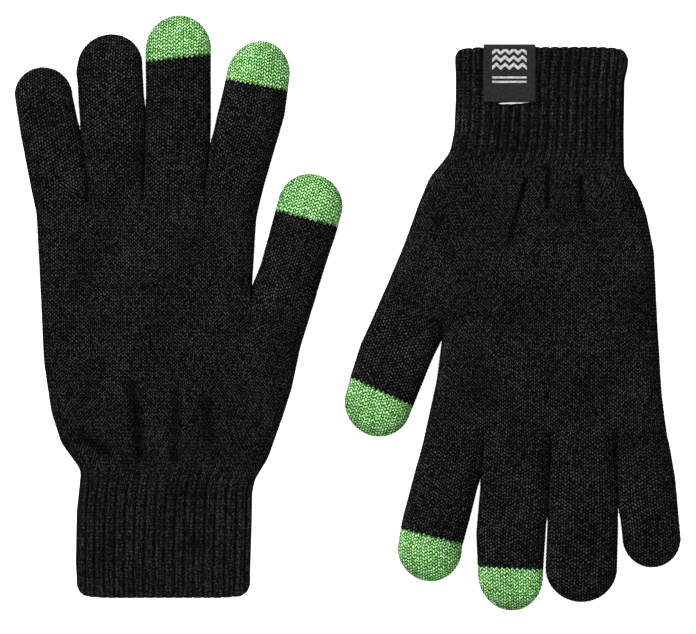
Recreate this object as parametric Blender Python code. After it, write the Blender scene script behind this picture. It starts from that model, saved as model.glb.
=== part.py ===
"""A pair of knitted touchscreen gloves, lying flat side by side, one palm up and one back up.

Frame: metres, +Z up, both gloves resting on z = 0, origin at the centre of the pair's footprint.
Each glove is drawn in its own frame in millimetres: the cuff's edge at y = 0, fingers towards +Y
and the thumb towards +X. It is then placed as it lies, the second one turned half round.
Every piece is a flattened tube of knit, open where the hand goes in. The pieces meet at the lines
where the hand bends, and each pivot lies on the palm side of the knit, where the fabric folds.
"""
import bpy
import numpy as np
from math import cos, pi, radians, sin
from mathutils import Vector

MM = 0.001
WALL = 1.8            # thickness of the knit
GAP = 0.36            # clearance between pieces that meet
SIDE_STEPS = 6        # facets in each half round side of a tube
FINGER_HIGH = 11.0    # height of a finger as it lies
PALM_HIGH = 13.0      # height at the middle of the hand
CUFF_HIGH = 10.0
DOME_ANGLES = (28, 50, 67, 79)   # degrees from the shoulder of a fingertip to its end
DOME_FLATTEN = 0.55   # share of its height that a fingertip loses at the end
HEM_CORNER = 5.0      # rounding of the cuff's two lower corners
HEM_CORNER_PULL = 0.6  # how far those corners draw in, as a share of their height
FULLEST_SIDE = 0.49   # share of a tube's width that one rounded side may take
ROW_CLEAR = 1.5       # a row keeps this far from the ends of its piece

LABEL_X = (2.4, 23.5)
LABEL_Y = (-1.4, 22.7)
LABEL_THICK = 0.6
LABEL_TUCK = 13.0     # how far the label's back leaf reaches inside the cuff
LABEL_CLEAR = 0.4

BLACK_KNIT = (0.010, 0.010, 0.011)
GREEN_KNIT = (0.190, 0.440, 0.140)
LABEL_BLACK = (0.024, 0.024, 0.026)

# Outlines are (y, x) pairs up the left and right edge. A finger's stations are (y, left, right).
# joints: y of the knuckle is the hand's "knuckles"; "bends" are the finger's two further joints.
# cap: (y at the finger's middle, slope across the finger) where the green yarn starts.
GLOVES = {
    "right": {
        "origin": (-74.33, -115.45), "turn": 0, "palm_up": True,
        "wrist": 50.0, "knuckles": 166.0,
        "cuff_left": [(0, -35.0), (14, -35.6), (35, -35.2), (50, -34.2)],
        "cuff_right": [(0, 33.0), (14, 34.2), (30, 34.8), (43, 35.2), (50, 36.3)],
        "palm_left": [(50, -34.2), (63, -41.7), (75, -45.8), (96, -49.0), (120, -50.2),
                      (155, -51.8), (166, -54.2)],
        "palm_right": [(50, 36.3), (56, 40.9), (74, 46.6), (85, 49.6), (100, 50.0),
                       (115, 42.0), (126, 35.1), (140, 36.2), (154, 37.3), (166, 40.2)],
        "fingers": {
            "little": {"stations": [(166, -54.2, -31.5), (181, -56.6, -31.5),
                                    (187, -57.7, -34.3), (203, -60.5, -37.8)],
                       "tip": (214.7, -49.8), "bends": (185.0, 200.0), "cap": None},
            "ring": {"stations": [(166, -30.8, -9.2), (191, -30.8, -8.9),
                                  (196, -33.6, -8.9), (215, -33.8, -9.7)],
                     "tip": (228.0, -22.0), "bends": (190.0, 208.0), "cap": None},
            "middle": {"stations": [(166, -8.2, 16.4), (183, -8.2, 17.3), (222, -7.7, 17.3)],
                       "tip": (235.7, 5.6), "bends": (192.5, 213.5), "cap": (218.5, 0.14)},
            "index": {"stations": [(166, 18.0, 40.2), (180, 18.0, 44.4), (195, 21.3, 48.6),
                                   (211, 24.9, 50.4)],
                      "tip": (225.2, 39.0), "bends": (187.5, 203.0), "cap": (207.8, -0.17)},
        },
        "thumb": {"crotch": (35.6, 126.0), "tilt": 16.0, "root": 42.0,
                  "stations": [(0, 0.6, 25.5), (25, 0.4, 25.6), (38, 0.2, 25.7)],
                  "tip": (50.3, 12.8), "bends": (24.0,), "cap": (32.0, 0.03)},
    },
    "left": {
        "origin": (78.13, 107.75), "turn": 180, "palm_up": False,
        "wrist": 46.0, "knuckles": 163.0,
        "cuff_left": [(0, -34.8), (14, -33.6), (34, -33.2), (46, -33.6)],
        "cuff_right": [(0, 34.0), (20, 34.2), (34, 34.6), (42, 36.8), (46, 40.0)],
        "palm_left": [(46, -33.6), (58, -38.1), (68, -42.1), (83, -45.4), (110, -47.0),
                      (140, -48.8), (156, -50.6), (163, -52.2)],
        "palm_right": [(46, 40.0), (53, 45.0), (64, 49.2), (79, 53.6), (90, 54.0),
                       (105, 47.0), (118, 40.0), (134, 42.2), (160, 47.4), (163, 48.2)],
        "fingers": {
            "little": {"stations": [(163, -52.2, -31.2), (184, -55.6, -31.4),
                                    (199, -56.7, -33.0)],
                       "tip": (211.0, -45.3), "bends": (181.5, 196.0), "cap": None},
            "ring": {"stations": [(163, -30.4, -3.9), (184, -30.4, -3.5), (211, -30.4, -3.5)],
                     "tip": (224.4, -16.6), "bends": (186.0, 204.0), "cap": None},
            "middle": {"stations": [(163, -2.8, 23.5), (184, -2.8, 24.0), (214, -1.4, 24.0)],
                       "tip": (228.0, 11.8), "bends": (188.0, 206.5), "cap": (211.2, -0.05)},
            "index": {"stations": [(163, 24.8, 48.2), (174, 24.8, 51.2), (192, 29.2, 55.7),
                                   (203, 32.3, 57.7)],
                      "tip": (216.3, 45.6), "bends": (181.5, 193.0), "cap": (197.9, -0.24)},
        },
        "thumb": {"crotch": (40.5, 118.3), "tilt": 22.8, "root": 38.0,
                  "stations": [(0, 0.6, 28.6), (15, 0.5, 28.9), (28, 0.3, 27.4), (34, 0.2, 26.6)],
                  "tip": (47.0, 13.2), "bends": (22.0,), "cap": (29.4, -0.03)},
    },
}


def clear_scene():
    for old in list(bpy.data.objects):
        bpy.data.objects.remove(old, do_unlink=True)


def finish(name, colour, roughness):
    """A Principled material in one colour."""
    material = bpy.data.materials.new(name)
    material.use_nodes = True
    shader = material.node_tree.nodes["Principled BSDF"]
    shader.inputs["Base Color"].default_value = (*colour, 1.0)
    shader.inputs["Roughness"].default_value = roughness
    material.diffuse_color = (*colour, 1.0)
    return material


def empty(name, parent, at):
    """A pivot at a point of its glove's frame; "at" is kept on it for the pieces that hang on it."""
    pivot = bpy.data.objects.new(name, None)
    bpy.context.scene.collection.objects.link(pivot)
    pivot.empty_display_size = 5 * MM
    pivot["at"] = at
    pivot.parent = parent
    pivot.location = (Vector(at) - Vector(parent["at"])) * MM if parent else Vector(at) * MM
    return pivot


def add_piece(name, vertices, faces, pivot, colour, roughness=0.9):
    """One named solid, drawn in its glove's frame in millimetres and hung on a pivot."""
    mesh = bpy.data.meshes.new(name)
    local = (np.array(vertices) - np.array(list(pivot["at"]))) * MM
    mesh.from_pydata([tuple(v) for v in local], [], faces)
    mesh.update()
    mesh.shade_smooth()
    mesh.set_sharp_from_angle(angle=radians(35))
    mesh.materials.append(finish(name + "_finish", colour, roughness))
    piece = bpy.data.objects.new(name, mesh)
    bpy.context.scene.collection.objects.link(piece)
    piece.parent = pivot
    return piece


def section(left, right, low, high):
    """A flattened tube's cross-section as (x, z) points: flat below and above, half round sides."""
    middle = (low + high) / 2
    half = (high - low) / 2
    reach = min(half, FULLEST_SIDE * (right - left))
    points = []
    for i in range(SIDE_STEPS + 1):
        angle = -pi / 2 + pi * i / SIDE_STEPS
        points.append((right - reach + reach * cos(angle), middle + half * sin(angle)))
    for i in range(SIDE_STEPS + 1):
        angle = pi / 2 + pi * i / SIDE_STEPS
        points.append((left + reach + reach * cos(angle), middle + half * sin(angle)))
    return points


def edges_at(stations, y):
    """Left and right edge at height y, read between a finger's stations."""
    ys, lefts, rights = zip(*stations)
    return float(np.interp(y, ys, lefts)), float(np.interp(y, ys, rights))


def finger_row(finger, y, high, inset, slope=0.0):
    """One row of points round a finger at y. The row leans by slope across the finger."""
    left, right = edges_at(finger["stations"], y)
    middle = (left + right) / 2
    ring = section(left + inset, right - inset, inset, high - inset)
    return [(x, y + slope * (x - middle), z) for x, z in ring]


def dome_rows(finger, high, inset):
    """The rows that round a fingertip over, from just past its shoulder to its end."""
    shoulder = finger["stations"][-1][0]
    left, right = edges_at(finger["stations"], shoulder)
    tip_y, tip_x = finger["tip"]
    length = tip_y - inset - shoulder
    rows = []
    for degrees in DOME_ANGLES:
        along = sin(radians(degrees))
        half = ((right - left) / 2 - inset) * cos(radians(degrees))
        centre = (left + right) / 2 + (tip_x - (left + right) / 2) * along
        squeeze = (high / 2 - inset) * DOME_FLATTEN * (1 - cos(radians(degrees)))
        ring = section(centre - half, centre + half, inset + squeeze, high - inset - squeeze)
        rows.append([(x, shoulder + length * along, z) for x, z in ring])
    return rows


def tube(outer, inner, closed_end):
    """Vertices and faces of a wall between two stacks of rows: open at its first row, and at its
    last row too unless closed_end."""
    count = len(outer[0])
    vertices = [p for row in outer + inner for p in row]
    start = len(outer) * count
    faces = []

    def at(stack_start, row, i):
        return stack_start + row * count + i % count

    for i in range(count):
        for row in range(len(outer) - 1):
            faces.append((at(0, row, i), at(0, row, i + 1), at(0, row + 1, i + 1), at(0, row + 1, i)))
        for row in range(len(inner) - 1):
            faces.append((at(start, row, i + 1), at(start, row, i),
                          at(start, row + 1, i), at(start, row + 1, i + 1)))
        faces.append((at(0, 0, i + 1), at(0, 0, i), at(start, 0, i), at(start, 0, i + 1)))
        if not closed_end:
            a, b = len(outer) - 1, len(inner) - 1
            faces.append((at(0, a, i), at(0, a, i + 1), at(start, b, i + 1), at(start, b, i)))
    if closed_end:
        faces.append([at(0, len(outer) - 1, i) for i in range(count)])
        faces.append([at(start, len(inner) - 1, i) for i in reversed(range(count))])
    return vertices, [tuple(reversed(f)) for f in faces]


def solid(rows):
    """Vertices and faces of a filled stack of rows."""
    count = len(rows[0])
    vertices = [p for row in rows for p in row]
    faces = [tuple(range(count))]
    for row in range(len(rows) - 1):
        for i in range(count):
            j = (i + 1) % count
            faces.append((row * count + j, row * count + i,
                          (row + 1) * count + i, (row + 1) * count + j))
    faces.append(tuple((len(rows) - 1) * count + i for i in reversed(range(count))))
    return vertices, faces


def turned(points, crotch, tilt):
    """Moves points from the thumb's own frame, which starts at its crotch, to its glove's frame."""
    c, s = cos(radians(tilt)), sin(radians(tilt))
    return [(crotch[0] + x * c + y * s, crotch[1] - x * s + y * c, z) for x, y, z in points]


def rows_between(finger, start, end, high, inset, start_slope=0.0, end_slope=0.0):
    """Rows of a finger from start to end, with one at each of its stations in between."""
    inner_ys = [s[0] for s in finger["stations"]
                if start + ROW_CLEAR < s[0] < end - ROW_CLEAR]
    rows = [finger_row(finger, start, high, inset, start_slope)]
    rows += [finger_row(finger, y, high, inset) for y in inner_ys]
    rows.append(finger_row(finger, end, high, inset, end_slope))
    return rows


def add_finger(side, name, finger, root, start, pivot_height, place=None):
    """One finger as a chain of tubes on nested pivots, black knit with a green cap where it has
    one. place moves points from the finger's own frame to the glove's."""
    place = place or (lambda points: points)
    cuts = [start, *finger["bends"]]
    shoulder = finger["stations"][-1][0]
    names = ["proximal", "medial", "distal"] if len(cuts) == 3 else ["proximal", "distal"]
    pivot = root
    for i, (cut, part) in enumerate(zip(cuts, names)):
        left, right = edges_at(finger["stations"], cut)
        at = place([((left + right) / 2, cut, pivot_height)])[0]
        pivot = empty(f"{side}_{name}_{part}_pivot", pivot, at)
        first = cut + GAP / 2
        last = i == len(cuts) - 1
        if not last:
            stop = cuts[i + 1] - GAP / 2
            outer, inner = [rows_between(finger, first, stop, FINGER_HIGH, w) for w in (0.0, WALL)]
            closed = False
        elif finger["cap"]:
            edge, slope = finger["cap"]
            outer, inner = [rows_between(finger, first, edge - GAP / 2, FINGER_HIGH, w, 0.0, slope)
                            for w in (0.0, WALL)]
            closed = False
        else:
            outer, inner = [rows_between(finger, first, shoulder, FINGER_HIGH, w)
                            + dome_rows(finger, FINGER_HIGH, w) for w in (0.0, WALL)]
            closed = True
        vertices, faces = tube(outer, inner, closed)
        add_piece(f"{side}_{name}_{part}", place(vertices), faces, pivot, BLACK_KNIT)
    if finger["cap"]:
        edge, slope = finger["cap"]
        outer, inner = [rows_between(finger, edge + GAP / 2, shoulder, FINGER_HIGH, w, slope, 0.0)
                        + dome_rows(finger, FINGER_HIGH, w) for w in (0.0, WALL)]
        vertices, faces = tube(outer, inner, True)
        add_piece(f"{side}_{name}_touch_tip", place(vertices), faces, pivot, GREEN_KNIT, 0.75)


def palm_height(glove, y):
    """The hand lies highest at its middle and thins towards the cuff and the knuckles."""
    wrist, knuckles = glove["wrist"], glove["knuckles"]
    share = (y - wrist) / (knuckles - wrist)
    ends = CUFF_HIGH + (FINGER_HIGH - CUFF_HIGH) * share
    return ends + (PALM_HIGH - (CUFF_HIGH + FINGER_HIGH) / 2) * sin(pi * min(max(share, 0), 1))


def palm_rows(glove, inset, overrun):
    """Rows of the hand from wrist to knuckles. overrun carries the hollow past both ends."""
    left_y, left_x = zip(*glove["palm_left"])
    right_y, right_x = zip(*glove["palm_right"])
    start = glove["wrist"] + GAP / 2 - overrun
    end = glove["knuckles"] - GAP / 2 + overrun
    inner = sorted({y for y in left_y[1:-1] + right_y[1:-1]})
    rows = []
    for y in [start, *inner, end]:
        x = [float(np.interp(y, left_y, left_x)), float(np.interp(y, right_y, right_x))]
        high = palm_height(glove, y)
        ring = section(x[0] + inset, x[1] - inset, inset, high - inset)
        rows.append([(px, y, pz) for px, pz in ring])
    return rows


def thumb_root_rows(thumb, low, inset, overrun):
    """The thumb's root, a tube that runs from inside the hand up to the thumb's own joint."""
    left, right = edges_at(thumb["stations"], 0)
    ring = section(left + inset, right - inset, low + inset, FINGER_HIGH - inset)
    rows = [[(x, y, z) for x, z in ring] for y in (inset - thumb["root"], overrun - GAP / 2)]
    return [turned(row, thumb["crotch"], thumb["tilt"]) for row in rows]


def combine(piece, other, operation):
    """Adds or cuts one solid with a hidden one."""
    other.hide_render = True
    other.display_type = "WIRE"
    step = piece.modifiers.new(other.name, "BOOLEAN")
    step.operation = operation
    step.object = other


def add_palm(side, glove, root):
    """The hand: a wide flat tube with the thumb's root joined to its side and one hollow through."""
    lift = 0.2
    past = 4.0
    thumb = glove["thumb"]
    palm = add_piece(f"{side}_palm", *solid(palm_rows(glove, 0.0, 0.0)), root, BLACK_KNIT)
    steps = [("root", solid(thumb_root_rows(thumb, lift, 0.0, 0.0)), "UNION"),
             ("hollow", solid(palm_rows(glove, WALL, past)), "DIFFERENCE"),
             ("root_hollow", solid(thumb_root_rows(thumb, lift, WALL, past)), "DIFFERENCE")]
    for name, shape, operation in steps:
        cutter = add_piece(f"{side}_palm_{name}", *shape, root, BLACK_KNIT)
        combine(palm, cutter, operation)


def add_cuff(side, glove, root):
    """The ribbed cuff, from its edge to the wrist, with two rounded lower corners."""
    wrist = glove["wrist"]
    high = CUFF_HIGH
    pivot = empty(f"{side}_cuff_pivot", root, (0.0, wrist, high if glove["palm_up"] else 0.0))
    left_y, left_x = zip(*glove["cuff_left"])
    right_y, right_x = zip(*glove["cuff_right"])
    stops = [HEM_CORNER * (1 - cos(radians(a))) for a in (0, 40, 65, 90)]
    stops += [y for y in sorted({*left_y[1:-1], *right_y[1:-1]}) if y > HEM_CORNER + 1]
    stops.append(wrist - GAP / 2)
    stacks = []
    for inset in (0.0, WALL):
        rows = []
        for y in stops:
            fall = max(0.0, 1 - y / HEM_CORNER)
            corner = HEM_CORNER * HEM_CORNER_PULL * (1 - (1 - fall ** 2) ** 0.5)
            x_left = float(np.interp(y, left_y, left_x)) + corner + inset
            x_right = float(np.interp(y, right_y, right_x)) - corner - inset
            ring = section(x_left, x_right, inset, high - inset)
            rows.append([(x, y, z) for x, z in ring])
        stacks.append(rows)
    add_piece(f"{side}_cuff", *tube(*stacks, False), pivot, BLACK_KNIT)
    return pivot


def prism(outline, x_range):
    """A solid with the same (y, z) outline all along X."""
    return solid([[(x, y, z) for y, z in reversed(outline)] for x in x_range])


def add_label(side, cuff_pivot):
    """The woven label folded over the cuff's edge: a sewn leaf inside and a loose front leaf."""
    y0, y1 = LABEL_Y
    top = CUFF_HIGH + LABEL_CLEAR
    inside = CUFF_HIGH - WALL - LABEL_CLEAR
    t = LABEL_THICK
    fold = [(y0, inside - t), (y0 + LABEL_TUCK, inside - t), (y0 + LABEL_TUCK, inside),
            (y0 + t, inside), (y0 + t, top - GAP), (y0, top - GAP)]
    add_piece(f"{side}_label_back", *prism(fold, LABEL_X), cuff_pivot, LABEL_BLACK, 0.6)
    pivot = empty(f"{side}_label_pivot", cuff_pivot, (sum(LABEL_X) / 2, y0, top))
    leaf = [(y0, top), (y1, top), (y1, top + t), (y0, top + t)]
    add_piece(f"{side}_label_front", *prism(leaf, LABEL_X), pivot, LABEL_BLACK, 0.6)


def add_glove(side, glove):
    root = empty(f"{side}_glove", None, (0.0, 0.0, 0.0))
    root.location = (glove["origin"][0] * MM, glove["origin"][1] * MM, 0.0)
    root.rotation_euler = (0.0, 0.0, radians(glove["turn"]))
    palm_side = FINGER_HIGH if glove["palm_up"] else 0.0
    add_palm(side, glove, root)
    cuff_pivot = add_cuff(side, glove, root)
    for name, finger in glove["fingers"].items():
        add_finger(side, name, finger, root, glove["knuckles"], palm_side)
    thumb = glove["thumb"]
    add_finger(side, "thumb", thumb, root, 0.0, palm_side,
               lambda points: turned(points, thumb["crotch"], thumb["tilt"]))
    if not glove["palm_up"]:
        add_label(side, cuff_pivot)


clear_scene()
for glove_side, glove_shape in GLOVES.items():
    add_glove(glove_side, glove_shape)
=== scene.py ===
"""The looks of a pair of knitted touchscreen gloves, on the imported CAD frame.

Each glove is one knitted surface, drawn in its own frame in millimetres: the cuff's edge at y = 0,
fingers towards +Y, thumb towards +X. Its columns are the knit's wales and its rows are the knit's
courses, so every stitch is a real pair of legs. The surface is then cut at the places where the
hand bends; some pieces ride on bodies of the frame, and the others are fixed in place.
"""
from math import cos, pi, radians, sin, tan

import bpy
import numpy as np
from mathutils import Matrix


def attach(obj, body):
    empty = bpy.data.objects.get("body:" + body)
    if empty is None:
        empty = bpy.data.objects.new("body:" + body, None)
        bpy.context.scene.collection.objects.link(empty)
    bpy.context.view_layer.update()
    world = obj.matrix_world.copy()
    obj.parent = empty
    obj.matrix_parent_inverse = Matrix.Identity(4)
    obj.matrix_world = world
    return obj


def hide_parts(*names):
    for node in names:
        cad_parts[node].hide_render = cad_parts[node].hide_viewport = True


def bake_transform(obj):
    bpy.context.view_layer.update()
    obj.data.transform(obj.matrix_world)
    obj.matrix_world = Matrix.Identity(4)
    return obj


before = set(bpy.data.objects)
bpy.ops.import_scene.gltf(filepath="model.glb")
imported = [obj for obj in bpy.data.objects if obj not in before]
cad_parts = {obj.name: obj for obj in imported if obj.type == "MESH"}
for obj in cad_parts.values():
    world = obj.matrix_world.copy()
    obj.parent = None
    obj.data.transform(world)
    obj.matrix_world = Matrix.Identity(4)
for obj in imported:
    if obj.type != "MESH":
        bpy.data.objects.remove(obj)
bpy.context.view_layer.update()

MM = 0.001

# ---------------------------------------------------------------- the knit, in millimetres
COLUMNS = 4      # mesh columns in a wale
ROWS = 2         # mesh rows in a course
COURSE = 1.40                    # height of a course
ROW = COURSE / ROWS
EDGE_PHASE = COLUMNS // 4        # the outline runs along a stitch's leg, not between two wales
WALES = {"little": 13, "ring": 15, "middle": 15, "index": 15, "thumb": 15}
FINGERS = ("little", "ring", "middle", "index")
LEG_SLANT = 0.7                  # how much of a course a stitch's leg climbs
LEG_HEIGHTS = {2: (0.0, 1.0), 4: (0.0, 1.0, 0.3, 1.0)}[COLUMNS]   # across a wale
STRAND_HEIGHTS = {1: (0.8,), 2: (0.1, 1.0)}[ROWS]                 # along a course
STITCH_HIGH = 0.42               # how far a stitch's legs stand proud
STITCH_UNEVEN = 0.25             # how much that varies from stitch to stitch
WELDS = 1000                     # points in one thousandth of a millimetre are one
WELD_SHIFT = 0.371               # keeps round coordinates away from the weld's rounding
SKIN_INSET = 0.3                 # the smooth surface lies this far inside the glove's outline
LINE_SOFT = (1.1, 1.6)           # how softly the outline and the index finger's edge are drawn
FINGER_SOFT = 1.2                # the same for a finger's sides

# ---------------------------------------------------------------- the lying fabric
EDGE_ROUND = 9.0                 # width over which the fabric rounds over at an edge
EDGE_POWER = 2.2                 # how squarely it does
FINGER_HIGH = 11.0
PALM_HIGH = 13.0
CUFF_HIGH = 10.0
DOME_FLATTEN = 0.5               # how much thinner a fingertip is than its finger
SHARE_FROM = 50                  # from here up, the wales are shared out to the fingers
THUMB_FROM = 60                  # from here up, the courses slope over the thumb's root
WEB_DIVE = 11.0                  # the creases between fingers start this far below the web
FINGER_PRESS = 0.14              # how far touching fingers press into each other, each
PARTING_FADE = 5.0               # length over which they come apart
ROOT_FADE = 9.0                  # length over which a finger takes its own section
THUMB_SETTLE = 16.0              # length over which the thumb comes down to a finger's height
SWAY = 0.3                       # unevenness of the lying fabric
SWAY_WAVES = (14, 46)            # lengths of its waves

# ---------------------------------------------------------------- where the fabric bends
KNUCKLE_BEND = 10.0              # length of a finger's root that bends at the knuckle
MID_BEND, END_BEND = 6.5, 5.0    # half the lengths that bend at its other joints
BEND_APART = 0.5                 # unbent length that stays between two bends
THUMB_ROOT_BEND, THUMB_CUT, THUMB_BEND = (1.0, 11.0), 14.0, 6.0

# ---------------------------------------------------------------- the cuff and the wrist
HEM_THICK = 1.6
HEM_LINE = 0.25                  # where the cuff's edge lies along the glove
HEM_DEPTH = 14.0                 # how far the turned-in welt reaches inside the cuff
HEM_SLOPE = 1.0                  # the cuff's edge rises this much more towards its sides
HEM_SLOPE_REACH = 15.0
HEM_FADE = 16.0                  # the edge's shape is gone this far up the cuff
RIB_WALES = 4                    # wales in a rib and the furrow beside it
RIB_HIGH = 1.3
RIB_FADE = (-8, 9)               # where the ribs end, from the wrist
RIB_SHADE = 0.24                 # how much painted shade darkens a furrow between ribs
GATHER_DEEP = 1.8

# ---------------------------------------------------------------- the woven label
LABEL_X = (2.4, 23.5)
LABEL_Y = (-0.55, 22.7)          # from its fold to the front leaf's end
LABEL_TOP = 10.75                # middle of the front leaf's thickness
LABEL_INSIDE = 7.35              # middle of the back leaf's thickness
LABEL_TUCK = 11.4                # how far the back leaf reaches into the cuff
LABEL_THICK = 0.5
LABEL_EDGE = 0.5                 # width over which its sides and end are rounded
LABEL_STEP = 0.16
LABEL_WAVE = 0.35                # how far the front leaf lifts off the cuff
THREAD = 0.42                    # spacing of the label's threads
MARK_X, MARK_WIDE = 13.0, 14.0   # the ornament's middle and width
ZIGZAG_Y, ZIGZAG_STEP, ZIGZAG_WAVE, ZIGZAG_HIGH, ZIGZAG_HALF = 5.2, 3.0, 3.5, 1.6, 0.75
BAR_Y, BAR_STEP, BAR_HALF = 12.8, 1.7, 0.42
SELVEDGE_X = (5.0, 17.4)         # the part of the label's end where its pale thread shows
SELVEDGE_DROP = 0.35             # how far that thread lies below the leaf
SELVEDGE_SIZE = (0.45, 0.14)     # its half width and half height

# ---------------------------------------------------------------- yarns
# Each yarn's colours run from the gap between stitches, painted as shade, to a crest, painted
# as a highlight. strand_depth is how dark the ends of a leg are painted as shade, contrast how
# much legs differ, fuzz how much the fibres show, and rim how much painted shade darkens the
# yarn towards the outline.
BLACK_YARN = {"stops": [(0.05, (0.0003, 0.0003, 0.0003)), (0.42, (0.0026, 0.0026, 0.0027)),
                        (0.72, (0.0125, 0.0125, 0.0128)), (1.0, (0.058, 0.058, 0.060))],
              "strand_depth": 0.44, "contrast": 0.65, "fuzz": 2.7, "sheen": 0.01,
              "roughness": 0.85, "rim": 0.65}
GREEN_YARN = {"stops": [(0.05, (0.006, 0.05, 0.003)), (0.42, (0.13, 0.39, 0.088)),
                        (0.72, (0.44, 0.88, 0.34)), (1.0, (0.70, 1.0, 0.60))],
              "strand_depth": 0.48, "contrast": 0.6, "fuzz": 1.7, "sheen": 0.03,
              "roughness": 0.7, "rim": 0.1}
FIBRE_SCALE = 2000.0             # fibres in a metre of yarn, as its noise shows them
WALE_WANDER = (260.0, 0.3)       # noise scale, and how many wales a stitch strays sideways
COURSE_WANDER = (310.0, 1.3)     # noise scale, and how many courses it strays along
LABEL_GROUND = [(0.0, (0.003,) * 3), (0.6, (0.013, 0.013, 0.014)), (1.0, (0.034, 0.034, 0.036))]
LABEL_THREADS = [(0.0, (0.28,) * 3), (0.5, (0.62,) * 3), (1.0, (0.85,) * 3)]
SELVEDGE_PALE = [(0.3, (0.55,) * 3), (0.7, (0.95,) * 3)]

# ---------------------------------------------------------------- stage, in metres and watts
CAMERA_AT = (0.0, -0.0017, 1.506)
CAMERA_LENS = 191.6
FLOOR_HALF = 6.0
FLOOR_PALE = 0.8
FLOOR_GLOW = 0.95                # what the camera alone sees, so that the floor is plain white
SKY_LIGHT, SKY_SEEN = 0.4, 0.6   # the sky's light, and how much more of it the camera sees
LAMPS = (("key_light", (-1.3, 1.5, 2.0), 0.8, 80), ("fill_light", (0.9, -0.5, 1.6), 1.2, 9))

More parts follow.
